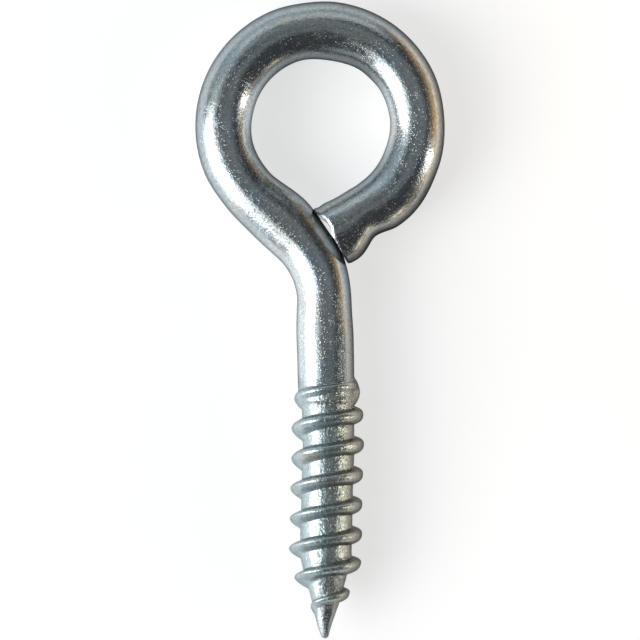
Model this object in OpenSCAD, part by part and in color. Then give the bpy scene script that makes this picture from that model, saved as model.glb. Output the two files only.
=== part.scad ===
// Screw eye: one length of round wire, bent into an eye at the top and rolled into a
// wood-screw thread with a gimlet point at the bottom.
// All sizes are in mm. The eye lies flat in the XY plane with its centre at the origin.
// +Y runs from the point of the screw to the eye, +X is the side the wire's cut end comes
// round on, and +Z stands square to the plane of the eye.

/* [Wire and eye] */
// Diameter of the round wire.
wire_d = 4.45; // [3.8:0.05:5]
// Clear diameter inside the eye.
eye_d = 10.75; // [9.5:0.25:14]
// Overall length, from the top of the eye to the tip of the point.
overall_len = 50; // [46:0.5:70]

/* [Neck] */
// Angle between the straight run of the neck and the shank.
neck_angle = 46.8; // [42:0.2:52]
// Centreline radius of the bend between the neck and the shank.
bend_r = 7.3; // [5:0.1:8.5]
// How far the shank's axis stands to the side of the eye's centre.
shank_offset = 0.42; // [-0.4:0.01:1]

/* [Cut end] */
// Where the wire leaves the round of the eye, in degrees below the +X side.
tail_angle = 61.3; // [57:0.1:66]
// Lean of the cut face: the angle of its normal from the X axis.
face_angle = 32.5; // [26:0.5:38]
// Gap between the cut face and the side of the neck.
end_gap = 0.14; // [0.1:0.01:0.5]
// How far the sheared rim stands out past the wire on its outer side.
flare = 0.66; // [0.3:0.02:0.9]
// How far back from the cut face the sheared rim is at its widest.
flare_back = 0.6; // [0.3:0.05:1]

/* [Thread] */
// Length of the threaded end, from the tip to the start of the ridge.
thread_len = 20; // [14:0.5:22]
// Distance from one turn of the ridge to the next.
pitch = 2.35; // [2:0.05:2.8]
// Diameter over the crests of the ridge.
crest_d = 5.6; // [5.2:0.05:6.2]
// Diameter of the core between the turns.
core_d = 4; // [3.2:0.05:4.2]
// Length over which the core tapers down to the point.
taper_len = 6.5; // [5:0.25:9]
// Height of the lump where the ridge starts, above the core.
lump_h = 0.68; // [0.4:0.02:0.8]

/* [Hidden] */
$fn = 72;
// Radii of the wire, of the eye's centreline, of the core and of the crests.
wire_r = wire_d / 2;
eye_r = (eye_d + wire_d) / 2;
core_r = core_d / 2;
crest_r = crest_d / 2;
// The neck's axis runs from the eye's circle to the corner where it would meet the shank's.
neck_run = (shank_offset + eye_r * cos(neck_angle)) / sin(neck_angle);
corner_y = -eye_r * sin(neck_angle) - neck_run * cos(neck_angle);
// Length the bend takes from each side of that corner, and where it meets the shank.
bend_run = bend_r * tan(neck_angle / 2);
bend_y = corner_y - bend_run;
// Tip of the point.
tip_y = eye_r + wire_r - overall_len;
// The cut face: how far its plane lies from the origin, and the straight run up to it.
face_off = cos(face_angle) * (shank_offset - bend_r) + sin(face_angle) * bend_y
    + bend_r + wire_r + end_gap;
tail_len = (eye_r * cos(face_angle + tail_angle) - face_off) / sin(face_angle + tail_angle);
// Radius of the sheared rim, a little over the wire's.
flare_r = wire_r * 1.03;
// The plain shank ends in a short step down to the core.
step_len = 0.45;
step_y = tip_y + thread_len - 0.55 * pitch;
// Radius of the tip, and how much the step's lower end is tucked inside the core.
tip_r = 0.14;
tuck = 0.1;
// Straight runs are a hair thinner than the bends and reach a little way into them.
hair = 0.03;
lap = 0.3;
run_r = wire_r - hair;
// The thread's skin is a net of strands that follow the ridge. These are their places
// down one turn: 0 is midway between two ridges and 0.5 is the crest.
strand = [0, 0.18, 0.28, 0.38, 0.5, 0.62, 0.72, 0.82];
strands = len(strand);
columns = 36;
// Half the width of the ridge's foot, as a part of the pitch.
ridge_w = 0.35;
// Height of the topmost strand at column 0, and of the flat end inside the shank.
net_top = thread_len + 1.5 * pitch;
core_top = net_top + 0.1;
// Last strand: the one whose lowest point is still just above the tip.
last_turn = net_top / pitch - 1.03;
last = strands * floor(last_turn)
    + len([for (s = strand) if (s <= last_turn - floor(last_turn)) 1]) - 1;

// Which node to show: "all" or one of the names above.

// Soft step from 0 to 1.
function soft(x) = let (t = min(max(x, 0), 1)) t * t * (3 - 2 * t);
// Radius of the core at height z above the tip.
function core_at(z) = z >= taper_len ? core_r
    : tip_r + (core_r - tip_r) * (1 - pow(1 - z / taper_len, 1.3));
// Round-backed section of the ridge: 1 on the crest, 0 past its foot.
function ridge_at(f) = abs(f) >= ridge_w ? 0 : pow(1 - pow(abs(f) / ridge_w, 2.2), 0.75);
// The ridge rises out of the shank over its first turn and sinks into the point.
function run_in(t) = soft((t + 0.3) / 1.2);
function run_out(z) = soft((z - 0.24 * taper_len) / (0.46 * taper_len));
// Lump at the start of the ridge, on the +X side.
function lump_at(c, z) = let (
        off = min(c, columns - c) * 360 / columns / 75,
        up = (z - thread_len + 0.25 * pitch) / (0.52 * pitch))
    lump_h * soft(1 - off) * max(0, 1 - up * up);
// Turns down the net and height above the tip of strand k at column c.
function turns(k) = floor(k / strands) + strand[k % strands];
function height(k, c) = net_top - pitch * (turns(k) + c / columns);
function radius(k, c) = let (z = height(k, c), t = floor(k / strands) - 1 + c / columns)
    core_at(z) + max(lump_at(c, z),
        (crest_r - core_r) * run_in(t) * run_out(z) * ridge_at(strand[k % strands] - 0.5));
function ring_point(r, c, z) = [r * cos(360 * c / columns), -r * sin(360 * c / columns), z];
// Number of a net point; the column after the last is the first one, a turn further down.
function spot(k, c) = c == columns ? (k + strands) * columns : k * columns + c;

// Core, ridge and point as one skin, tip at the origin and axis on +Z.
module thread() {
    net = (last + 1) * columns;
    tip = net + columns;
    points = concat(
        [for (k = [0:last], c = [0:columns - 1]) ring_point(radius(k, c), c, height(k, c))],
        [for (c = [0:columns - 1]) ring_point(core_r, c, core_top)],
        [[0, 0, 0]]);
    rows = [for (k = [0:last - 1], c = [0:columns - 1])
        if (c < columns - 1 || k + 1 + strands <= last)
            each [[spot(k, c), spot(k + 1, c), spot(k + 1, c + 1)],
                [spot(k, c), spot(k + 1, c + 1), spot(k, c + 1)]]];
    top = [for (c = [0:columns - 2])
        each [[net + c, spot(0, c), spot(0, c + 1)], [net + c, spot(0, c + 1), net + c + 1]]];
    top_seam = concat(
        [for (k = [strands:-1:1]) [spot(0, columns - 1), spot(k, 0), spot(k - 1, 0)]],
        [[spot(0, columns - 1), spot(0, 0), net], [spot(0, columns - 1), net, tip - 1]]);
    end = [for (c = [0:columns - 2]) [spot(last, c), tip, spot(last, c + 1)]];
    end_seam = concat(
        [for (k = [last - strands:last - 1])
            [spot(k, columns - 1), spot(k + 1, columns - 1), spot(last, 0)]],
        [[spot(last, columns - 1), tip, spot(last, 0)]]);
    cap = [[for (c = [0:columns - 1]) net + c]];
    polyhedron(points, concat(cap, rows, top, top_seam, end, end_seam));
}

// Straight run of wire along +Y that laps into whatever it joins at both ends.
module run(length) {
    translate([0, -lap, 0]) rotate([-90, 0, 0]) cylinder(h = length + 2 * lap, r = run_r);
}

// Plain shank, with the step down to the core at its lower end.
module shank() {
    top = bend_y - step_y + lap;
    translate([shank_offset, step_y, 0]) rotate([-90, 0, 0]) rotate_extrude()
        polygon([[0, -step_len], [core_r - tuck, -step_len], [run_r, 0], [run_r, top], [0, top]]);
}

// Bend at the head of the shank and the straight run of the neck.
module neck() {
    translate([shank_offset - bend_r, bend_y, 0])
        rotate_extrude(angle = neck_angle) translate([bend_r, 0]) circle(wire_r);
    translate([shank_offset - bend_run * sin(neck_angle),
            corner_y + bend_run * cos(neck_angle), 0])
        rotate([0, 0, neck_angle]) run(neck_run - bend_run);
}

// The eye: the round from the end of the neck to where the tail leaves it.
module eye() {
    rotate([0, 0, -tail_angle])
        rotate_extrude(angle = 180 + neck_angle + tail_angle)
            translate([eye_r, 0]) circle(wire_r);
}

// Straight tail with its flared rim, cut off square to the plane of the eye.
module tail() {
    over = flare_r * 2;
    size = overall_len;
    difference() {
        translate([eye_r * cos(tail_angle), -eye_r * sin(tail_angle), 0])
            rotate([0, 0, -tail_angle]) {
                translate([0, -tail_len - over, 0]) run(tail_len + over);
                translate([wire_r + flare - flare_r, flare_back - tail_len, 0])
                    sphere(flare_r);
            }
        rotate([0, 0, face_angle])
            translate([face_off - size, -size / 2, -size / 2]) cube(size);
    }
}

module screw_eye() {
    color("silver") {
        union() {
            eye();
            neck();
            tail();
        }
        union() {
            shank();
            translate([shank_offset, tip_y, 0]) rotate([-90, 0, 0]) thread();
        }
    }
}

screw_eye();
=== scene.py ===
"""Dresses the screw eye and lays it on a pale table under soft studio light.

The wire is laid from its cut face, round the eye, down the neck and the shank, to the tip of
the point. Its lengths are in millimetres until the mesh is finished, when it is brought to
metres. The eye's centre is the origin, +Y runs from the point to the eye, +X is the side of the
cut end, and +Z is up from the table.
"""

import logging
import math
from dataclasses import dataclass, field
from enum import Enum

import bmesh
import bpy
from bmesh.types import BMEdge, BMesh, BMLayerItem, BMVert
from bpy.types import Material, Node, NodeSocket as Socket, NodeTree, Object
from mathutils import Matrix, Vector, noise


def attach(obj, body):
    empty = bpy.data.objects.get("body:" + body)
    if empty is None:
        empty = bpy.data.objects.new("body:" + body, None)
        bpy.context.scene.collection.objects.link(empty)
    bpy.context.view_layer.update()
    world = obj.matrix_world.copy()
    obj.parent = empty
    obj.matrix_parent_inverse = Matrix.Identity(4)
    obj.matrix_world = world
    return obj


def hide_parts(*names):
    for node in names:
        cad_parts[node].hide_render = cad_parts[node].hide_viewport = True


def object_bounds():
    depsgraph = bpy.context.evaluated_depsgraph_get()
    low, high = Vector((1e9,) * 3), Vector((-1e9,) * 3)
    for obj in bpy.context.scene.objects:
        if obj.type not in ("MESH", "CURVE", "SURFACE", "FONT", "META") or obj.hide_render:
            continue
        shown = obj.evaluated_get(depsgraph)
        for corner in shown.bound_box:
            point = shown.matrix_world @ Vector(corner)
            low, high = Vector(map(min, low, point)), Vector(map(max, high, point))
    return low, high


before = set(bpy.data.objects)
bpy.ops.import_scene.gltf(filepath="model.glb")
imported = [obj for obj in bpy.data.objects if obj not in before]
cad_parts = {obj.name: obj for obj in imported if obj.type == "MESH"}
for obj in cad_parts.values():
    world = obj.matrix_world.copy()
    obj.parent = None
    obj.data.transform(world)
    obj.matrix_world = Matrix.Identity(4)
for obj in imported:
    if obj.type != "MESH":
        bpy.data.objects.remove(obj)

CAD_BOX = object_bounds()
LOG = logging.getLogger("screw_eye")
MM = 0.001
MICRON = 1e-6
UP = Vector((0.0, 0.0, 1.0))
WIRE_R = 2.225

# The mesh attribute that notes where a point lies on the straight wire: its distance from the
# axis towards the outer side of the eye, above the axis, and from the cut face.
PLACE = "straight_wire"

# The distance from the cut face that is noted for points of the face itself.
ON_FACE = -0.5

Colour = tuple[float, float, float]
Span = tuple[float, float]
Value = Socket | Colour | float


class Turn(Enum):
    """Which way the wire swings round a bend, seen from above."""

    LEFT = 1.0
    RIGHT = -1.0


class Sum(Enum):
    """What a math node works out."""

    PLUS = "ADD"
    TIMES = "MULTIPLY"
    LARGER = "MAXIMUM"
    SIZE = "ABSOLUTE"


class Kind(Enum):
    """What a mix node mixes: its data type, and the type of its sockets."""

    NUMBER = ("FLOAT", "VALUE")
    COLOUR = ("RGBA", "RGBA")


def ramp(x: float, begin: float, end: float) -> float:
    """Soft step from 0 at begin to 1 at end, and flat beyond them."""
    share = min(max((x - begin) / (end - begin), 0.0), 1.0)
    return share * share * (3.0 - 2.0 * share)


def hump(x: float) -> float:
    """Rounded hump, 1 at x = 0 and 0 at x = -1, at x = 1 and beyond."""
    return 0.5 + 0.5 * math.cos(math.pi * x) if abs(x) < 1.0 else 0.0


def grown(small: float, share: float) -> float:
    """A factor that grows from small to 1 as the share goes from 0 to 1."""
    return small + (1.0 - small) * share


def over(first: float, last: float, fillet: float) -> float:
    """The higher of two heights, with a fillet where they are nearly equal."""
    near = max(fillet - abs(first - last), 0.0)
    return max(first, last) + (0.25 * near * near / fillet if near > 0.0 else 0.0)


def new_verts(
        made: list[BMVert | BMEdge]) -> list[BMVert]:
    """The vertices among the parts that an operator made."""
    return [item for item in made if isinstance(item, BMVert)]


def rim(verts: list[BMVert]) -> list[BMEdge]:
    """The edges that join these vertices in a round."""
    inside = set(verts)
    return [edge for edge in {edge for vert in verts for edge in vert.link_edges}
            if edge.verts[0] in inside and edge.verts[1] in inside]


@dataclass(frozen=True)
class Wander:
    """A smooth unevenness of the wire's skin.

    Args:
        depth: about how far it reaches up or down.
        size: how far apart its highs and lows lie.
        seed: which of many such patterns it is.
    """

    depth: float
    size: float
    seed: float

    def lift(self, place: Vector) -> float:
        """How far it lifts the skin at a place."""
        shift = Vector((self.seed, -self.seed, 0.5 * self.seed))
        return self.depth * noise.noise(place / self.size + shift)


@dataclass(frozen=True)
class Bead:
    """A low bead or groove where the thread begins.

    Args:
        height: how high it stands, or below 0 how deep it lies.
        down: how far its middle is below the start of the thread.
        reach: how far it runs to each side of that.
    """

    height: float
    down: float
    reach: float

    def lift(self, depth: float) -> float:
        """Its height at a depth below the start of the thread."""
        return self.height * hump((depth - self.down) / self.reach)


@dataclass(frozen=True)
class Swell:
    """A place where bending and rolling left the wire a little fuller or slimmer.

    Args:
        at: distance from the cut face along the wire.
        reach: how far it runs to each side of that.
        outer: how much it adds on the eye's outer side.
        inner: how much it adds on the eye's inner side.
    """

    at: float
    reach: float
    outer: float
    inner: float

    def push(self, along: float, across: float) -> float:
        """How far it moves a point of the wire's skin outwards from the eye.

        Args:
            along: the point's distance from the cut face.
            across: 1 on the outer side of the wire, -1 on the inner.

        Returns:
            The move, towards the outer side.
        """
        share = hump((along - self.at) / self.reach)
        outer, inner = (0.5 + 0.5 * across) ** 2, (0.5 - 0.5 * across) ** 2
        return share * (self.outer * outer - self.inner * inner)


@dataclass(frozen=True)
class Station:
    """One round of the wire's skin.

    Args:
        verts: its vertices.
        edges: the edges between them.
        centre: the wire's axis there.
        outward: the side of the wire that is outside on the eye.
        onward: the way the wire runs.
        along: distance from the cut face.
    """

    verts: list[BMVert]
    edges: list[BMEdge]
    centre: Vector
    outward: Vector
    onward: Vector
    along: float


@dataclass
class Length:
    """A short length of the wire: its mesh, its rounds and the layer that notes each place."""

    mesh: BMesh
    place: BMLayerItem
    stations: list[Station]


@dataclass
class Wire:
    """The bent wire, laid round by round with extrudes and spins in short lengths."""

    radius: float = WIRE_R
    facets: int = 96
    rounds: int = 60
    weld: float = 1e-4
    lengths: list[Length] = field(default_factory=list)

    def begin(self, centre: Vector, onward: Vector, along: float = 0.0) -> None:
        """Begins a new length of the wire with its first round.

        Args:
            centre: the wire's axis there.
            onward: the way the wire runs from there.
            along: distance from the cut face.
        """
        outward = onward.cross(UP)
        turn = Matrix((outward, UP, onward)).transposed().to_4x4()
        mesh = bmesh.new()
        place = mesh.verts.layers.float_vector.new(PLACE)
        made = bmesh.ops.create_circle(
            mesh, cap_ends=False, segments=self.facets, radius=self.radius,
            matrix=Matrix.Translation(centre) @ turn)
        verts = list(made["verts"])
        first = Station(verts, rim(verts), centre, outward, onward, along)
        self.lengths.append(Length(mesh, place, [first]))

    def run(self, length: float, step: float) -> None:
        """Lays a straight run.

        Args:
            length: how long it is.
            step: about how far apart its rounds lie.
        """
        count = max(1, round(length / step))
        for _ in range(count):
            part = self._part()
            last = part.stations[-1]
            verts = new_verts(bmesh.ops.extrude_edge_only(part.mesh, edges=last.edges)["geom"])
            move = last.onward * (length / count)
            bmesh.ops.translate(part.mesh, verts=verts, vec=move)
            part.stations.append(Station(
                verts, rim(verts), last.centre + move, last.outward, last.onward,
                last.along + length / count))

    def swing(self, radius: float, angle: float, step: float, turn: Turn) -> None:
        """Lays a bend in the plane of the eye.

        Args:
            radius: the bend's centreline radius.
            angle: how far it turns, in degrees.
            step: about how far apart its rounds lie.
            turn: which way it turns.
        """
        last = self.lengths[-1].stations[-1]
        pivot = last.centre - last.outward * (radius * turn.value)
        length = radius * math.radians(angle)
        count = max(1, round(length / step))
        share = math.radians(angle) / count * turn.value
        spun = Matrix.Rotation(share, 3, "Z")
        for _ in range(count):
            part = self._part()
            last = part.stations[-1]
            verts = new_verts(bmesh.ops.spin(
                part.mesh, geom=last.verts + last.edges, cent=pivot, axis=UP,
                dvec=Vector(), angle=share, steps=1, use_merge=False,
                use_duplicate=False)["geom_last"])
            part.stations.append(Station(
                verts, rim(verts), pivot + spun @ (last.centre - pivot),
                spun @ last.outward, spun @ last.onward, last.along + length / count))

    def joined(self) -> BMesh:
        """Joins the lengths.

        Returns:
            One mesh of the whole wire.
        """
        whole = bmesh.new()
        for part in self.lengths:
            data = bpy.data.meshes.new("length")
            part.mesh.to_mesh(data)
            part.mesh.free()
            whole.from_mesh(data)
            bpy.data.meshes.remove(data)
        bmesh.ops.remove_doubles(whole, verts=whole.verts, dist=self.weld)
        return whole

    def _part(self) -> Length:
        """The length being laid, begun afresh when the last one is full.

        Returns:
            The length that takes the next round.
        """
        if len(self.lengths[-1].stations) > self.rounds:
            last = self.lengths[-1].stations[-1]
            self.begin(last.centre, last.onward, last.along)
        return self.lengths[-1]


@dataclass(frozen=True)
class Thread:
    """The rolled wood-screw thread and its gimlet point, as a skin round the wire's axis.

    Heights are above the tip. Leads and widths of the ridge are in turns of the thread. Its left
    is the side of -X, and its top the side of +Z.
    """

    # The plain body.
    length: float = 20.0
    pitch: float = 2.35
    lead_in: float = 0.6
    core_r: float = 2.03
    crest_r: float = 2.85
    taper: float = 6.5
    taper_bow: float = 1.1
    tip_r: float = 0.24
    tip_round: float = 0.22
    step_down: float = 18.5
    step_run: float = 0.5
    step_fillet: float = 0.15
    step_fillet_at: Span = (17.5, 18.3)
    # The foot of the ridge.
    top_lead: float = 0.12
    right_lag: float = 0.02
    foot: float = 0.28
    lean: float = 0.04
    top_lean: float = 0.05
    left_foot: float = 0.08
    left_foot_at: Span = (10.0, 15.0)
    right_foot: float = 0.03
    point_foot: float = 0.6
    point_foot_at: Span = (2.0, 5.0)
    start_foot: float = 0.7
    start_foot_at: Span = (0.0, 0.9)
    top_slim: float = 0.27
    # The back of the ridge.
    bow: float = 2.6
    left_bow: float = -0.8
    top_bow: float = 0.8
    round_back: float = 0.8
    left_round: float = 0.2
    top_round: float = 0.3
    # How the ridge rises at its start and ends at the point.
    start_share: float = 0.62
    start_rise: Span = (-0.15, 0.1)
    full_rise: Span = (0.45, 0.95)
    point_rise: float = 1.06
    point_end: Span = (1.85, 4.35)
    right_worn: float = 0.13
    right_worn_at: Span = (6.0, 10.0)
    top_worn: float = 0.05
    # The lump at the start of the ridge, at an angle about the axis, and its lip.
    knob_h: float = 0.62
    knob_fillet: float = 0.3
    knob_at: float = -23.0
    knob_wide: Span = (65.0, 13.0)
    knob_down: float = 0.25
    knob_tall: float = 0.54
    lip: tuple[Bead, ...] = (Bead(0.21, 0.28, 0.34), Bead(-0.20, 0.72, 0.32))
    lip_at: float = 72.0
    lip_wide: Span = (50.4, 14.4)

    def top(self) -> float:
        """Height above the tip at which this skin takes over from the plain wire."""
        return self.length + self.lead_in * self.pitch

    def core(self, height: float) -> float:
        """Radius of the plain body under the ridge.

        Args:
            height: distance above the tip.

        Returns:
            The radius there.
        """
        if height < self.taper:
            rise = 1.0 - (1.0 - max(height, 0.0) / self.taper) ** self.taper_bow
            end = 1.0 - min(max(height, 0.0) / self.tip_round, 1.0)
            return (self.tip_r + (self.core_r - self.tip_r) * rise) * math.sqrt(1.0 - end * end)
        half = 0.5 * self.step_run
        rise = ramp(height, self.step_down - half, self.step_down + half)
        return self.core_r + (WIRE_R - self.core_r) * rise

    def ridge(self, around: float, height: float) -> float:
        """Height of the ridge above the core.

        Args:
            around: angle about the axis in degrees, 0 at +X and 90 at +Z.
            height: distance above the tip.

        Returns:
            The ridge's height there.
        """
        left = 0.5 - 0.5 * math.cos(math.radians(around))
        top = math.sin(math.radians(around))
        turns = (self.length - height) / self.pitch - around / 360.0
        turns += self.top_lead * top - self.right_lag * (1.0 - left)
        count = round(turns)
        turn = count + around / 360.0
        below = turns > count
        off = abs(turns - count) / self._half_foot(left, abs(top), turn, below)
        if off >= 1.0:
            return 0.0
        bow = self.bow + self.left_bow * left + (0.0 if below else self.top_bow * abs(top))
        power = self.round_back + self.left_round * left + self.top_round * abs(top)
        return self._crest(left, abs(top), turn) * (1.0 - off ** bow) ** power

    def _half_foot(self, left: float, level: float, turn: float, below: bool) -> float:
        """Width of one half of the ridge's foot.

        Args:
            left: 1 on the left, 0 on the right.
            level: 1 on top and underneath, 0 at the two sides.
            turn: turns of the ridge from its start.
            below: whether it is the half towards the tip.

        Returns:
            The half's width, in turns.
        """
        crest_at = self.length - turn * self.pitch
        lean = self.lean + self.top_lean * level
        half = self.foot + (lean if below else -lean)
        half += self.left_foot * left * ramp(crest_at, *self.left_foot_at)
        half += self.right_foot * (1.0 - left)
        half *= grown(self.point_foot, ramp(crest_at, *self.point_foot_at))
        half *= grown(self.start_foot, ramp(turn, *self.start_foot_at))
        return half * (1.0 - self.top_slim * level)

    def _crest(self, left: float, level: float, turn: float) -> float:
        """Height of the ridge's crest above the core.

        Args:
            left: 1 on the left, 0 on the right.
            level: 1 on top and underneath, 0 at the two sides.
            turn: turns of the ridge from its start.

        Returns:
            The height, which fades away towards the start and the tip.
        """
        crest_at = self.length - turn * self.pitch
        rise = self.start_share * ramp(turn, *self.start_rise)
        rise += (1.0 - self.start_share) * ramp(turn, *self.full_rise)
        end, full = self.point_end
        fade = self.point_rise * min(max((crest_at - end) / (full - end), 0.0), 1.0)
        thread_by_side = self.right_worn * (1.0 - left) * ramp(crest_at, *self.right_worn_at)
        thread_by_side += self.top_worn * level
        return (self.crest_r - self.core_r) * rise * fade * (1.0 - thread_by_side)

    def knob(self, around: float, height: float) -> float:
        """Height above the core of the lump where the ridge begins.

        Args:
            around: angle about the axis, as for the ridge.
            height: distance above the tip.

        Returns:
            The lump's height there, with its lip.
        """
        turned = (around - self.knob_at + 180.0) % 360.0 - 180.0
        depth = self.length - height
        up = (self.knob_down * self.pitch - depth) / (self.knob_tall * self.pitch)
        lump = self.knob_h * ramp(abs(turned), *self.knob_wide) * max(0.0, 1.0 - up * up)
        lip = sum(bead.lift(depth) for bead in self.lip)
        return lump + lip * ramp(abs(turned - self.lip_at), *self.lip_wide)

    def skin(self, around: float, height: float) -> float:
        """Radius of the finished skin.

        Args:
            around: angle about the axis, as for the ridge.
            height: distance above the tip.

        Returns:
            The radius there.
        """
        body = self.core(min(height, self.step_down - self.step_run))
        ridge, knob = self.ridge(around, height), self.knob(around, height)
        fillet = min(self.knob_fillet, 2.0 * max(0.0, min(ridge, knob)))
        step = self.step_fillet * ramp(height, *self.step_fillet_at)
        return over(self.core(height), body + over(ridge, knob, fillet), step)


@dataclass(frozen=True)
class Fade:
    """A value that goes softly from one to another over a stretch.

    Args:
        begin: where it begins to change.
        end: where it has changed.
        first: its value up to the beginning.
        last: its value from the end.
    """

    begin: float
    end: float
    first: float = 0.0
    last: float = 1.0


@dataclass(frozen=True)
class Grain:
    """A noise pattern on the wire.

    Args:
        scale: how many features fall in a millimetre.
        detail: how much finer grain rides on it.
        stretch: how many times longer its features are along the wire.
        fade: how its values are spread, if they are.
    """

    scale: float
    detail: float
    stretch: float = 1.0
    fade: Fade | None = None


def feed(socket: Socket, value: Value) -> None:
    """Gives a socket its value.

    Args:
        socket: what takes it.
        value: another node's result, a colour, a vector or a number.
    """
    if isinstance(value, Socket):
        socket.id_data.links.new(value, socket)
    else:
        socket.default_value = (*value, 1.0) if socket.type == "RGBA" else value


def add(tree: NodeTree, kind: str, feeds: dict[str | int, Value], **settings: str) -> Node:
    """Adds a shader node.

    Args:
        tree: the material's nodes.
        kind: which kind of node it is.
        feeds: what its inputs take.
        settings: what else is set on it.

    Returns:
        The node.
    """
    node = tree.nodes.new(f"ShaderNode{kind}")
    for name, setting in settings.items():
        setattr(node, name, setting)
    for name, value in feeds.items():
        feed(node.inputs[name], value)
    return node


def reckon(tree: NodeTree, kind: Sum, *values: Socket | float) -> Socket:
    """The result of a math node that works on these values."""
    return add(tree, "Math", dict(enumerate(values)), operation=kind.value).outputs["Value"]


def blank(name: str) -> Material:
    """Makes a material that has no nodes yet.

    Args:
        name: what it is called.

    Returns:
        The material.
    """
    made = bpy.data.materials.new(name)
    made.use_nodes = True
    made.node_tree.nodes.clear()
    return made


@dataclass(frozen=True)
class WireNodes:
    """Shader nodes that work from the place on the straight wire, in millimetres.

    Args:
        tree: the material's nodes.
        place: the place.
        across: its distance from the axis, above 0 on the outer side of the eye.
        rise: its distance from the plane of the eye, up or down.
        along: its distance from the cut face.
    """

    tree: NodeTree
    place: Socket
    across: Socket
    rise: Socket
    along: Socket

    @classmethod
    def reading(cls, tree: NodeTree) -> "WireNodes":
        """Adds the nodes that read the place.

        Args:
            tree: the material's nodes.

        Returns:
            The place and its parts.
        """
        place = add(tree, "Attribute", {}, attribute_name=PLACE).outputs["Vector"]
        across, level, along = add(tree, "SeparateXYZ", {"Vector": place}).outputs
        return cls(tree, place, across, reckon(tree, Sum.SIZE, level), along)

    def stretched(self, stretch: float) -> Socket:
        """The place for a pattern that is drawn out so many times along the wire."""
        scale = (1.0, 1.0, 1.0 / stretch)
        return add(self.tree, "Mapping", {"Vector": self.place, "Scale": scale}).outputs["Vector"]

    def grain(self, grain: Grain) -> Socket:
        """A noise pattern on the wire.

        Args:
            grain: the pattern.

        Returns:
            Its value.
        """
        value = add(self.tree, "TexNoise", {
            "Vector": self.stretched(grain.stretch), "Scale": grain.scale,
            "Detail": grain.detail}).outputs["Fac"]
        return value if grain.fade is None else self.fade(value, grain.fade)

    def fade(self, value: Socket, fade: Fade) -> Socket:
        """A value that fades as another one grows.

        Args:
            value: the other one.
            fade: how it fades.

        Returns:
            The faded value.
        """
        return add(self.tree, "MapRange", {
            "Value": value, "From Min": fade.begin, "From Max": fade.end, "To Min": fade.first,
            "To Max": fade.last}, interpolation_type="SMOOTHSTEP").outputs["Result"]

    def times(self, first: Socket, *others: Socket) -> Socket:
        """The product of several values.

        Args:
            first: one value.
            others: the others.

        Returns:
            The product.
        """
        for other in others:
            first = reckon(self.tree, Sum.TIMES, first, other)
        return first

    def mix(self, kind: Kind, share: Socket, first: Value, last: Value) -> Socket:
        """A number or a colour between two.

        Args:
            kind: which it is.
            share: how much of the last one to take.
            first: the first one.
            last: the last one.

        Returns:
            The mix.
        """
        data_type, socket_type = kind.value
        node = add(self.tree, "Mix", {0: share}, data_type=data_type)
        sockets = [socket for socket in node.inputs if socket.type == socket_type][-2:]
        feed(sockets[0], first)
        feed(sockets[1], last)
        return next(socket for socket in node.outputs if socket.type == socket_type)

    def bump(self, height: Socket, microns: float, under: Socket | None) -> Socket:
        """Relief of a given height.

        Args:
            height: the pattern, 0 to 1.
            microns: how high 1 stands.
            under: the relief below it, if any.

        Returns:
            The surface's normal.
        """
        below = {} if under is None else {"Normal": under}
        return add(self.tree, "Bump", {
            "Distance": microns * MICRON, "Height": height, **below}).outputs["Normal"]


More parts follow.
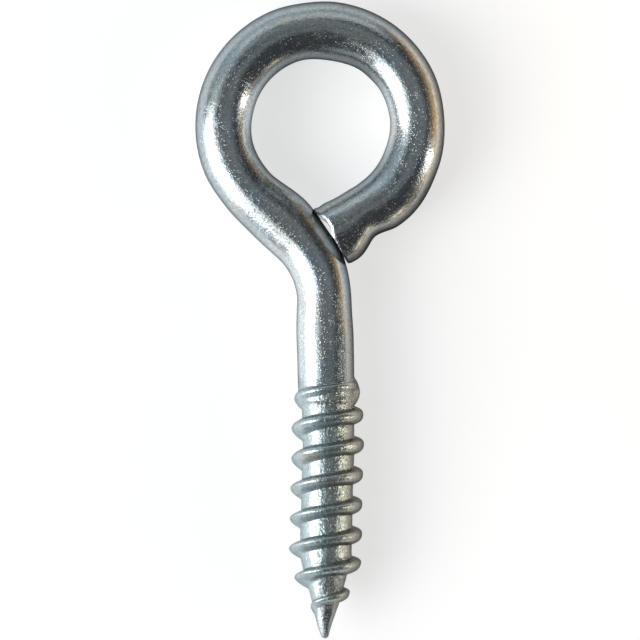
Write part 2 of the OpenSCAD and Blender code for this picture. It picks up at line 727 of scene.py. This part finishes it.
@dataclass(frozen=True)
class ZincPlate:
    """Bright zinc plating on drawn steel wire: bluish, faintly straw-coloured, finely pitted."""

    blue: Colour = (0.43, 0.485, 0.52)
    grey: Colour = (0.47, 0.495, 0.50)
    # straw is the plating's own tint in random patches, and also the colour of the painted warm
    # reflection on the flanks.
    straw: Colour = (0.51, 0.48, 0.41)
    sea: Colour = (0.385, 0.465, 0.485)
    olive_reflection: Colour = (0.46, 0.44, 0.34)
    edge: Colour = (0.17, 0.18, 0.19)
    bare: Colour = (0.80, 0.81, 0.80)
    bare_metal: float = 0.3
    # What differs on the rolled thread.
    rolled_tint: float = 0.8
    rolled_rough: float = 0.04
    rolled_grain: float = 1.8
    rolled_lines: float = 0.15
    # How deep the relief is, in microns.
    pit_depth: float = 13.5
    grain_depth: float = 17.0
    dent_depth: float = 70.0
    line_depth: float = 3.0
    # Patterns, in features to a millimetre.
    pit_scale: float = 10.5
    pit_stretch: float = 2.0
    drift: Grain = Grain(0.35, 2.0, 2.0, Fade(0.35, 0.65))
    patches: Grain = Grain(0.9, 4.0, 1.5, Fade(0.52, 0.75, 0.0, 0.6))
    specks: Grain = Grain(6.0, 3.0, 1.3, Fade(0.3, 0.7, 0.87, 1.13))
    clouds: Grain = Grain(3.5, 3.0, 2.5, Fade(0.35, 0.7, 0.19, 0.28))
    crowding: Grain = Grain(1.6, 2.0, 1.5, Fade(0.38, 0.6, 0.4, 1.0))
    coarseness: Grain = Grain(0.5, 1.0, 1.0, Fade(0.35, 0.65, 0.4, 1.0))
    fine: Grain = Grain(7.0, 2.0, 1.6)
    dents: Grain = Grain(3.6, 3.0)
    lines: Grain = Grain(5.0, 3.0, 12.0)
    # Fades along the wire, from the cut face.
    cut_face: Fade = Fade(-0.4, -0.1, 1.0, 0.0)
    # tail, outer_eye, inner_tail, inner_eye, inner_neck, neck and shank_end set the painted shade
    # and painted highlight on the flanks: rims made darker or lighter along the wire.
    tail: Fade = Fade(6.0, 11.0, 0.55, 1.0)
    outer_eye: Fade = Fade(20.0, 36.0, 0.6, 1.25)
    inner_tail: Fade = Fade(13.0, 18.5, 1.9, 0.6)
    inner_eye: Fade = Fade(27.0, 34.0, 1.0, 1.3 / 0.6)
    inner_neck: Fade = Fade(34.5, 37.5, 1.0, 0.55)
    neck: Fade = Fade(42.0, 50.0, 1.0, 1.45)
    shank_end: Fade = Fade(57.0, 58.5, 1.0, 1.0 / 1.45)
    # The next two fades place the painted warm reflection on the flanks.
    warm_reflection_eye: Fade = Fade(13.0, 19.0, 0.65, 0.0)
    warm_reflection_shank: Fade = Fade(50.0, 54.0, 0.0, 0.65)
    thread_start: Fade = Fade(57.6, 58.8)
    thread_end: Fade = Fade(74.6, 76.4, 1.0, 0.15)
    # Fades across the wire, towards the outer side of the eye.
    outer_side: Fade = Fade(-0.5, 0.5)
    # Where the painted olive reflection lies on the thread, on the side of the cut end.
    olive_reflection_side: Fade = Fade(-1.7, 0.2, 0.6, 0.0)
    metal_side: Fade = Fade(-0.3, 1.3, 0.85, 0.68)
    dented_side: Fade = Fade(0.0, 1.6, 1.0, 0.4)
    # Fades up or down from the plane of the eye.
    # flanks keeps the painted shade, painted highlight and painted warm reflection on the wire's
    # sides.
    flanks: Fade = Fade(1.0, 1.85, 1.0, 0.0)
    crown: Fade = Fade(1.9, 2.2, 0.95, 1.35)
    # Fades within the pattern of the pits.
    pit_wall: Fade = Fade(0.05, 0.4, 1.0, 0.0)
    pit_choice: Fade = Fade(0.25, 0.55)

    def material(self) -> Material:
        """Builds the plating.

        Returns:
            The material.
        """
        made = blank("zinc_plate")
        nodes = WireNodes.reading(made.node_tree)
        metal = add(nodes.tree, "BsdfPrincipled", {
            "Base Color": self._tint(nodes), "Metallic": self._metal(nodes),
            "Roughness": self._gloss(nodes), "Normal": self._relief(nodes),
            "Specular Tint": self.edge})
        add(nodes.tree, "OutputMaterial", {"Surface": metal.outputs["BSDF"]})
        return made

    def _tint(self, nodes: WireNodes) -> Socket:
        """The plating's colour.

        Args:
            nodes: the material's nodes.

        Returns:
            A colour that drifts from blue to grey, greener on the thread, with a painted olive
            reflection on the thread's side of the cut end, patches of straw, a painted warm
            reflection and painted shade and highlight on the flanks.
        """
        olive_reflection = nodes.fade(nodes.across, self.olive_reflection_side)
        plain = nodes.mix(Kind.COLOUR, nodes.grain(self.drift), self.blue, self.grey)
        # On the thread: its own sea tint, with olive on the cut end's side as a painted warm
        # reflection.
        thread_by_side = nodes.mix(Kind.COLOUR, olive_reflection, self.sea, self.olive_reflection)
        tint = nodes.mix(Kind.COLOUR, self._rolled(nodes, 0.0, self.rolled_tint), plain, thread_by_side)
        tint = nodes.mix(Kind.COLOUR, nodes.grain(self.patches), tint, self.straw)
        # Painted warm reflection: the straw colour again, on the flanks of the cut end's side.
        tint = nodes.mix(Kind.COLOUR, self._painted_warm_reflection(nodes), tint, self.straw)
        # The specks are the plating's own random tone; the flank factor is painted shade and
        # painted highlight on the rims.
        shade = nodes.times(nodes.grain(self.specks), self._painted_rim_shade(nodes))
        shaded = add(nodes.tree, "VectorMath", {0: tint, "Scale": shade}, operation="SCALE")
        sheared = nodes.fade(nodes.along, self.cut_face)
        return nodes.mix(Kind.COLOUR, sheared, shaded.outputs["Vector"], self.bare)

    def _metal(self, nodes: WireNodes) -> Socket:
        """How metallic the surface looks.

        Args:
            nodes: the material's nodes.

        Returns:
            1 on the plain wire, less on the rolled thread and least on the rough cut face.
        """
        sheared = nodes.fade(nodes.along, self.cut_face)
        plated = nodes.mix(Kind.NUMBER, sheared, 1.0, self.bare_metal)
        thread_by_side = nodes.fade(nodes.across, self.metal_side)
        return nodes.times(plated, self._rolled(nodes, 1.0, thread_by_side))

    def _painted_rim_shade(self, nodes: WireNodes) -> Socket:
        """How much painted shade darkens and painted highlight lightens the colour of the wire's
        two flanks, round the eye from the cut end.

        Args:
            nodes: the material's nodes.

        Returns:
            1 where the colour is left as it is, less under painted shade, more under a painted
            highlight.
        """
        outer = nodes.times(*(nodes.fade(nodes.along, fade) for fade in (
            self.outer_eye, self.tail, self.neck, self.shank_end)))
        inner = nodes.times(*(nodes.fade(nodes.along, fade) for fade in (
            self.inner_tail, self.inner_eye, self.inner_neck, self.tail)))
        side = nodes.fade(nodes.across, self.outer_side)
        shade = nodes.mix(Kind.NUMBER, side, inner, outer)
        return nodes.mix(Kind.NUMBER, nodes.fade(nodes.rise, self.flanks), 1.0, shade)

    def _painted_warm_reflection(self, nodes: WireNodes) -> Socket:
        """Where a painted warm reflection tints the two flanks on the side of the cut end with the
        straw colour.

        Args:
            nodes: the material's nodes.

        Returns:
            The painted reflection's share, most on the outside of the eye and the inside of the
            shank.
        """
        side = nodes.fade(nodes.across, self.outer_side)
        eye, shank = (nodes.fade(nodes.along, fade) for fade in (self.warm_reflection_eye, self.warm_reflection_shank))
        share = nodes.mix(Kind.NUMBER, side, shank, eye)
        return nodes.times(nodes.fade(nodes.rise, self.flanks), share)

    def _gloss(self, nodes: WireNodes) -> Socket:
        """The roughness, cloudy on a smooth ground and a little higher on the rolled thread."""
        rolled = self._rolled(nodes, 0.0, self.rolled_rough)
        return reckon(nodes.tree, Sum.PLUS, nodes.grain(self.clouds), rolled)

    def _rolled(self, nodes: WireNodes, plain: float, rolled: Socket | float) -> Socket:
        """A value that differs on the rolled thread.

        Args:
            nodes: the material's nodes.
            plain: the value on the plain wire, and nearly on the point.
            rolled: the value on the rolled thread.

        Returns:
            The value.
        """
        share = nodes.times(nodes.fade(nodes.along, self.thread_start),
                            nodes.fade(nodes.along, self.thread_end))
        return nodes.mix(Kind.NUMBER, share, plain, rolled)

    def _relief(self, nodes: WireNodes) -> Socket:
        """The fine relief of the surface.

        Args:
            nodes: the material's nodes.

        Returns:
            The normal, with pits, grain, drawing lines and the dents of the rolled thread.
        """
        pits = nodes.times(
            self._pits(nodes), nodes.grain(self.crowding), nodes.fade(nodes.rise, self.crown))
        fine = nodes.times(nodes.grain(self.fine), nodes.grain(self.coarseness),
                           self._rolled(nodes, 1.0, self.rolled_grain))
        dents = nodes.times(nodes.grain(self.dents), nodes.fade(nodes.across, self.dented_side),
                            self._rolled(nodes, 0.0, 1.0))
        lines = nodes.times(nodes.grain(self.lines), self._rolled(nodes, 1.0, self.rolled_lines))
        pitted = nodes.bump(pits, self.pit_depth, None)
        grained = nodes.bump(fine, self.grain_depth, pitted)
        dented = nodes.bump(dents, self.dent_depth, grained)
        return nodes.bump(lines, self.line_depth, dented)

    def _pits(self, nodes: WireNodes) -> Socket:
        """Small round specks, scattered unevenly and a little longer along the wire.

        Args:
            nodes: the material's nodes.

        Returns:
            1 in the middle of a speck, 0 between them.
        """
        cells = add(nodes.tree, "TexVoronoi", {
            "Vector": nodes.stretched(self.pit_stretch), "Scale": self.pit_scale})
        chance = add(nodes.tree, "SeparateXYZ", {"Vector": cells.outputs["Color"]}).outputs["X"]
        return nodes.times(nodes.fade(cells.outputs["Distance"], self.pit_wall),
                           nodes.fade(chance, self.pit_choice))


@dataclass
class ScrewEye:
    """The whole screw eye, made as one piece of wire."""

    wire: Wire = field(default_factory=Wire)
    thread: Thread = Thread()
    plate: ZincPlate = ZincPlate()
    piece_name: str = "zinc_plated_wire"
    # The bent wire.
    eye_r: float = 7.6
    neck_angle: float = 46.8
    bend_r: float = 7.3
    shank_offset: float = 0.42
    overall: float = 50.0
    tail_angle: float = 61.3
    # The sheared end.
    face_angle: float = 32.5
    end_gap: float = 0.14
    flare: float = 0.74
    flare_run: Span = (2.8, 0.6)
    flare_side: float = 0.35
    flare_power: float = 1.2
    burr: float = 0.1
    burr_run: float = 0.4
    roll: float = 0.1
    roll_run: float = 0.3
    slant_run: float = 2.5
    shear_run: float = 1.6
    reach: float = 0.35
    hollow: float = 0.42
    hollow_at: Span = (-0.95, -0.4)
    heel: float = 0.29
    heel_at: Span = (-0.16, 0.1)
    corner: float = 0.1
    corner_at: Span = (0.2, 0.8)
    face_rounds: int = 14
    face_shift: float = 0.2
    face_dome: float = 0.08
    dome_power: int = 6
    face_middle: float = 0.12
    # How closely the rounds are laid.
    tail_step: float = 0.07
    eye_step: float = 0.18
    bend_step: float = 0.15
    thread_step: float = 0.06
    point_step: float = 0.03
    point_run: float = 0.3
    point_short: float = 0.02
    # The unevenness of the skin.
    calm_point: float = 4.0
    crease: float = 40.0
    wire_wander: Wander = Wander(0.004, 2.6, 1.3)
    face_wander: Wander = Wander(0.025, 0.4, 9.2)
    thread_wander: tuple[Wander, ...] = (Wander(0.018, 0.9, 3.1), Wander(0.008, 0.35, 7.7))
    swells: tuple[Swell, ...] = (
        Swell(3.1, 1.3, -0.20, -0.05),
        Swell(1.6, 1.6, 0.0, -0.12),
        Swell(5.6, 3.0, 0.17, -0.02),
        Swell(11.8, 3.2, -0.09, -0.09),
        Swell(15.0, 2.6, 0.0, -0.08),
        Swell(22.0, 4.0, -0.01, 0.18),
        Swell(24.3, 2.2, -0.07, 0.0),
        Swell(36.6, 3.6, 0.0, -0.075),
        Swell(40.0, 2.0, -0.08, 0.0),
        Swell(44.3, 3.4, 0.06, 0.34),
        Swell(47.0, 2.2, 0.0, -0.10),
        Swell(51.2, 3.6, 0.0, -0.19),
        Swell(53.8, 3.6, 0.09, -0.04),
        Swell(62.0, 5.0, -0.20, 0.20),
        Swell(66.5, 5.0, -0.10, 0.10),
        Swell(77.2, 2.3, 0.11, -0.11),
    )

    def tail_length(self) -> float:
        """Straight run from the cut face to the round of the eye.

        Returns:
            Its length, which lets the cut face clear the neck by the end gap.
        """
        lean, tail = math.radians(self.face_angle), math.radians(self.tail_angle)
        face = (math.cos(lean) * (self.shank_offset - self.bend_r)
                + math.sin(lean) * self.bend_top() + self.bend_r + self.wire.radius + self.end_gap)
        return (self.eye_r * math.cos(lean + tail) - face) / math.sin(lean + tail)

    def neck_length(self) -> float:
        """Run from the eye's round to the corner of the neck's and the shank's axes."""
        lean = math.radians(self.neck_angle)
        return (self.shank_offset + self.eye_r * math.cos(lean)) / math.sin(lean)

    def bend_length(self) -> float:
        """Length that the bend takes from each side of that corner."""
        return self.bend_r * math.tan(math.radians(self.neck_angle) / 2.0)

    def bend_top(self) -> float:
        """Where the shank's straight run begins.

        Returns:
            Its place along Y.
        """
        lean = math.radians(self.neck_angle)
        corner = -self.eye_r * math.sin(lean) - self.neck_length() * math.cos(lean)
        return corner - self.bend_length()

    def tip_y(self) -> float:
        """Where the tip of the point lies along Y."""
        return self.eye_r + self.wire.radius - self.overall

    def lay(self) -> None:
        """Lays the wire from its cut face to just short of the tip."""
        tail = math.radians(self.tail_angle)
        onward = Vector((math.sin(tail), math.cos(tail), 0.0))
        leave = Vector((self.eye_r * math.cos(tail), -self.eye_r * math.sin(tail), 0.0))
        length = self.tail_length()
        round_angle = 180.0 + self.neck_angle + self.tail_angle
        self.wire.begin(leave - onward * length, onward)
        self.wire.run(length, self.tail_step)
        self.wire.swing(self.eye_r, round_angle, self.eye_step, Turn.LEFT)
        self.wire.run(self.neck_length() - self.bend_length(), self.eye_step)
        self.wire.swing(self.bend_r, self.neck_angle, self.bend_step, Turn.RIGHT)
        self.wire.run(self.bend_top() - self.tip_y() - self.thread.top(), self.bend_step)
        self.wire.run(self.thread.top() - self.point_run, self.thread_step)
        self.wire.run(self.point_run - self.point_short, self.point_step)

    def form(self) -> None:
        """Moves each point of the skin to its formed place and notes its place on the wire."""
        for part in self.wire.lengths:
            for station in part.stations:
                for vert in station.verts:
                    arm = vert.co - station.centre
                    across, rise = arm.dot(station.outward), arm.dot(UP)
                    vert[part.place] = Vector((across, rise, station.along))
                    vert.co = self._formed(station, math.atan2(rise, across))

    def _formed(self, station: Station, turned: float) -> Vector:
        """The formed place of one point of the skin.

        Args:
            station: the round that it is on.
            turned: its angle about the wire, 0 on the outer side and a quarter turn at the top.

        Returns:
            The place.
        """
        across, rise = math.cos(turned), math.sin(turned)
        height = station.centre.y - self.tip_y()
        radius = self.wire.radius
        spot = Vector((across * radius, rise * radius, station.along))
        calm = min(1.0, height / self.calm_point)
        if height < self.thread.top():
            around = (180.0 - math.degrees(turned)) % 360.0
            radius = self.thread.skin(around, height)
            rough = sum(wander.lift(spot) for wander in self.thread_wander)
            begun = ramp(height, self.thread.top(), self.thread.top() - self.thread.pitch)
            radius += rough * calm * begun
        radius += self.wire_wander.lift(spot) * calm
        push = sum(swell.push(station.along, across) for swell in self.swells)
        place = station.centre + station.outward * (radius * across + push) + UP * (radius * rise)
        return place + self._cut(station, across, rise)

    def _cut(self, station: Station, across: float, rise: float) -> Vector:
        """How the shear moved a point near the cut end.

        Args:
            station: the round that it is on.
            across: 1 on the outer side of the wire, -1 on the inner.
            rise: 1 on top of the wire, -1 underneath.

        Returns:
            The move.
        """
        along = station.along
        if along > self.flare_run[0]:
            return Vector()
        outer = max(0.0, grown(self.flare_side, across)) ** self.flare_power
        spread = self.flare * ramp(along, *self.flare_run) * outer
        spread += self.burr * hump(along / self.burr_run - 1.0) * hump(2.0 * (across + 1.0))
        rolled = self.roll * max(0.0, 1.0 - along / self.roll_run) ** 2
        lean = math.tan(math.radians(self.face_angle + self.tail_angle - 90.0))
        slide = lean * (self.wire.radius * across + spread) * ramp(along, self.slant_run, 0.0)
        slide -= self._reach(across) * ramp(along, self.shear_run, 0.0)
        move = station.outward * spread + station.onward * slide
        return move - (station.outward * across + UP * rise) * rolled

    def _reach(self, across: float) -> float:
        """How far the sheared end stands towards the neck.

        Args:
            across: 1 on the outer side of the wire, -1 on the inner.

        Returns:
            The distance, least where the shear left a hollow.
        """
        hollow = self.hollow * ramp(across, *self.hollow_at)
        heel = self.heel * ramp(across, *self.heel_at)
        return self.reach - hollow + heel + self.corner * ramp(across, *self.corner_at)

    def _mean_reach(self) -> float:
        """The mean reach of the sheared end, all round the wire."""
        turns = [math.tau * count / self.wire.facets for count in range(self.wire.facets)]
        return sum(self._reach(math.cos(turn)) for turn in turns) / len(turns)

    def close_tip(self) -> None:
        """Draws the last round of the point together."""
        part = self.wire.lengths[-1]
        last = part.stations[-1]
        bmesh.ops.pointmerge(
            part.mesh, verts=last.verts, merge_co=last.centre + last.onward * self.point_step)

    def close_face(self) -> None:
        """Closes the cut face with rounds drawn in towards its middle, roughed by the shear."""
        part = self.wire.lengths[0]
        first = part.stations[0]
        edges = first.edges
        middle = sum((vert.co for vert in first.verts), Vector()) / len(first.verts)
        level = self._mean_reach()
        lean = math.radians(self.face_angle)
        normal = Vector((math.cos(lean), math.sin(lean), 0.0))
        for left in range(self.face_rounds - 1, 0, -1):
            verts = new_verts(bmesh.ops.extrude_edge_only(part.mesh, edges=edges)["geom"])
            edges = rim(verts)
            size = left / self.face_rounds
            for vert in verts:
                arm = (vert.co - middle) * (left / (left + 1.0))
                arm -= normal * arm.dot(normal)
                outer = arm.dot(first.outward)
                across = min(max((outer - self.face_shift) / self.wire.radius, -1.0), 1.0)
                lift = level - self._reach(across) + self.face_wander.lift(arm)
                lift += self.face_dome * (1.0 - size ** self.dome_power)
                vert[part.place] = Vector((outer, arm.z, ON_FACE))
                vert.co = middle + arm + normal * lift
        last = new_verts(bmesh.ops.extrude_edge_only(part.mesh, edges=edges)["geom"])
        bmesh.ops.pointmerge(
            part.mesh, verts=last, merge_co=middle + normal * self.face_middle)

    def build(self) -> Object:
        """Makes the finished piece.

        Returns:
            The object, in metres, with its place in its mesh.
        """
        self.lay()
        self.form()
        self.close_face()
        self.close_tip()
        mesh = self.wire.joined()
        bmesh.ops.recalc_face_normals(mesh, faces=mesh.faces)
        for edge in mesh.edges:
            edge.smooth = edge.calc_face_angle(0.0) <= math.radians(self.crease)
        for face in mesh.faces:
            face.smooth = True
        bmesh.ops.scale(mesh, vec=Vector((MM, MM, MM)), verts=mesh.verts)
        data = bpy.data.meshes.new(self.piece_name)
        mesh.to_mesh(data)
        mesh.free()
        piece = bpy.data.objects.new(self.piece_name, data)
        bpy.context.scene.collection.objects.link(piece)
        return piece

    def dress(self, piece: Object) -> None:
        """Plates the finished piece."""
        piece.data.materials.append(self.plate.material())


@dataclass(frozen=True)
class Lamp:
    """A rectangular studio lamp.

    Args:
        name: what it is called.
        wide: its width.
        tall: its height.
        glow: how bright its face is, where 1 is white.
        colour: its tint.
    """

    name: str
    wide: float
    tall: float
    glow: float
    colour: Colour

    def hang(self, size: Span, place: Vector, back: Vector) -> Object:
        """Hangs the lamp.

        Args:
            size: its width and height in metres.
            place: its middle.
            back: the way that its back faces.

        Returns:
            The lamp.
        """
        lamp = bpy.data.lights.new(self.name, "AREA")
        lamp.shape = "RECTANGLE"
        lamp.size, lamp.size_y = size
        lamp.energy = self.glow * math.pi * lamp.size * lamp.size_y
        lamp.color = self.colour
        hung = bpy.data.objects.new(self.name, lamp)
        hung.location = place
        hung.rotation_euler = back.to_track_quat("Z", "Y").to_euler()
        hung.visible_camera = False
        bpy.context.scene.collection.objects.link(hung)
        LOG.info("lamp %s: %.2f bright", self.name, self.glow)
        return hung


@dataclass(frozen=True)
class SoftBox(Lamp):
    """A lamp that faces the screw eye, as wide and tall as angles seen from there.

    Args:
        azimuth: direction it stands in, in degrees from +X towards +Y.
        height: its height above the table, as an angle in degrees.
        distance: how far off it hangs, in metres.
    """

    azimuth: float
    height: float
    distance: float = 0.45

    def face(self, aim: Vector) -> Object:
        """Hangs the lamp so that it faces a point.

        Args:
            aim: the point.

        Returns:
            The lamp.
        """
        turned, up = math.radians(self.azimuth), math.radians(self.height)
        away = Vector((math.cos(turned) * math.cos(up), math.sin(turned) * math.cos(up),
                       math.sin(up)))
        size = (self._filling(self.wide), self._filling(self.tall))
        return self.hang(size, aim + away * self.distance, away)

    def _filling(self, angle: float) -> float:
        """The length that fills an angle in degrees from so far off."""
        return 2.0 * self.distance * math.tan(math.radians(angle) / 2.0)


@dataclass(frozen=True)
class Card(Lamp):
    """A small lit card that stands close by, facing across the table. Sizes are millimetres.

    Args:
        place: its middle.
    """

    place: tuple[float, float, float]

    def stand(self) -> Object:
        """Stands the card on the table, facing the screw eye along X.

        Returns:
            The card's lamp.
        """
        back = Vector((math.copysign(1.0, self.place[0]), 0.0, 0.0))
        return self.hang((self.wide * MM, self.tall * MM), Vector(self.place) * MM, back)


@dataclass
class Studio:
    """The pale table, the lamps and the camera."""

    table_z: float = CAD_BOX[0][2]
    table_r: float = 1.5
    table_sides: int = 64
    table_grey: Colour = (0.5, 0.5, 0.5)
    table_glow: float = 0.62
    view_width: float = 50.2 * MM
    view_centre: Span = (-0.04 * MM, -15.2 * MM)
    lens: float = 200.0
    sensor: float = 36.0
    clip: Span = (0.01, 10.0)
    surround: Colour = (0.055, 0.06, 0.063)
    lamp_aim: tuple[float, float, float] = (0.0, -15.0 * MM, 0.0)
    lamps: tuple[SoftBox, ...] = (
        SoftBox("key_softbox", 41.0, 28.0, 4.8, (1.0, 0.98, 0.96), 196.0, 31.0),
        SoftBox("key_wash", 46.0, 52.0, 2.0, (0.96, 0.99, 1.0), 196.0, 24.0),
        SoftBox("key_skirt", 14.0, 16.0, 2.4, (0.95, 0.99, 1.0), 206.0, 53.0),
        SoftBox("key_upper", 27.0, 13.0, 1.7, (0.84, 0.95, 1.0), 204.0, 59.0),
        SoftBox("far_panel", 66.0, 24.0, 0.74, (0.92, 0.99, 1.0), 95.0, 30.0),
        SoftBox("far_left_panel", 34.0, 38.0, 0.52, (0.82, 0.95, 1.0), 147.0, 36.0),
        SoftBox("far_low_panel", 110.0, 20.0, 0.46, (0.80, 0.94, 1.0), 115.0, 8.0),
        SoftBox("overhead_panel", 62.0, 24.0, 0.22, (0.85, 0.97, 1.0), 60.0, 66.0),
        SoftBox("top_panel", 46.0, 14.0, 0.22, (0.88, 0.97, 1.0), 90.0, 88.0),
        SoftBox("side_strip", 5.0, 28.0, 9.0, (1.0, 0.96, 0.90), -12.0, 19.0),
        SoftBox("near_panel", 44.0, 28.0, 0.5, (0.86, 0.96, 1.0), 240.0, 8.0),
    )
    cards: tuple[Card, ...] = (
        Card("warm_card", 50.0, 10.8, 0.72, (1.0, 0.64, 0.29), (26.5, 11.0, 2.6)),
        Card("low_card", 36.0, 10.8, 0.22, (1.0, 0.66, 0.32), (26.5, -32.0, 2.6)),
        Card("thread_card", 16.0, 6.0, 1.9, (1.0, 0.88, 0.66), (26.4, -33.0, 7.5)),
        Card("brown_card", 40.0, 8.0, 0.16, (1.0, 0.62, 0.36), (27.5, 6.0, 12.0)),
    )

    def table(self) -> Object:
        """Lays the table.

        Returns:
            The table's top.
        """
        mesh = bmesh.new()
        bmesh.ops.create_circle(
            mesh, cap_ends=True, segments=self.table_sides, radius=self.table_r,
            matrix=Matrix.Translation((0.0, 0.0, self.table_z)))
        data = bpy.data.meshes.new("table")
        mesh.to_mesh(data)
        mesh.free()
        top = bpy.data.objects.new("table", data)
        bpy.context.scene.collection.objects.link(top)
        data.materials.append(self._pale())
        return top

    def _pale(self) -> Material:
        """A plain table, kept white to the eye and in reflections.

        Returns:
            The material.
        """
        made = blank("pale_table")
        tree = made.node_tree
        path = add(tree, "LightPath", {}).outputs
        seen = reckon(tree, Sum.LARGER, path["Is Camera Ray"], path["Is Glossy Ray"])
        seen = reckon(tree, Sum.LARGER, seen, path["Is Transmission Ray"])
        white = add(tree, "Emission", {"Strength": reckon(tree, Sum.TIMES, seen, self.table_glow)})
        matt = add(tree, "BsdfDiffuse", {"Color": self.table_grey})
        both = add(tree, "AddShader", {0: matt.outputs["BSDF"], 1: white.outputs["Emission"]})
        add(tree, "OutputMaterial", {"Surface": both.outputs["Shader"]})
        return made

    def light(self) -> None:
        """Hangs the lamps and sets the dim grey of the room."""
        for lamp in self.lamps:
            lamp.face(Vector(self.lamp_aim))
        for card in self.cards:
            card.stand()
        room = bpy.data.worlds.new("room")
        bpy.context.scene.world = room
        room.use_nodes = True
        feed(room.node_tree.nodes["Background"].inputs["Color"], self.surround)

    def camera(self) -> Object:
        """Sets the camera straight above the screw eye, with +Y up in the view.

        Returns:
            The camera.
        """
        data = bpy.data.cameras.new("camera")
        data.lens = self.lens
        data.sensor_width = self.sensor
        data.clip_start, data.clip_end = self.clip
        seen = bpy.data.objects.new("camera", data)
        away = self.view_width * self.lens / self.sensor
        seen.location = (*self.view_centre, away)
        bpy.context.scene.collection.objects.link(seen)
        bpy.context.scene.camera = seen
        return seen


def main() -> None:
    """Builds the screw eye, dresses it and sets the studio."""
    logging.basicConfig(level=logging.INFO, format="%(name)s: %(message)s")
    bpy.context.scene.view_settings.view_transform = "Standard"
    studio = Studio()
    studio.camera()
    screw_eye = ScrewEye()
    piece = screw_eye.build()
    screw_eye.dress(piece)
    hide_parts("screw_eye")
    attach(piece, "root")
    LOG.info("piece %s: %d faces", piece.name, len(piece.data.polygons))
    studio.table()
    studio.light()


if __name__ == "__main__":
    main()
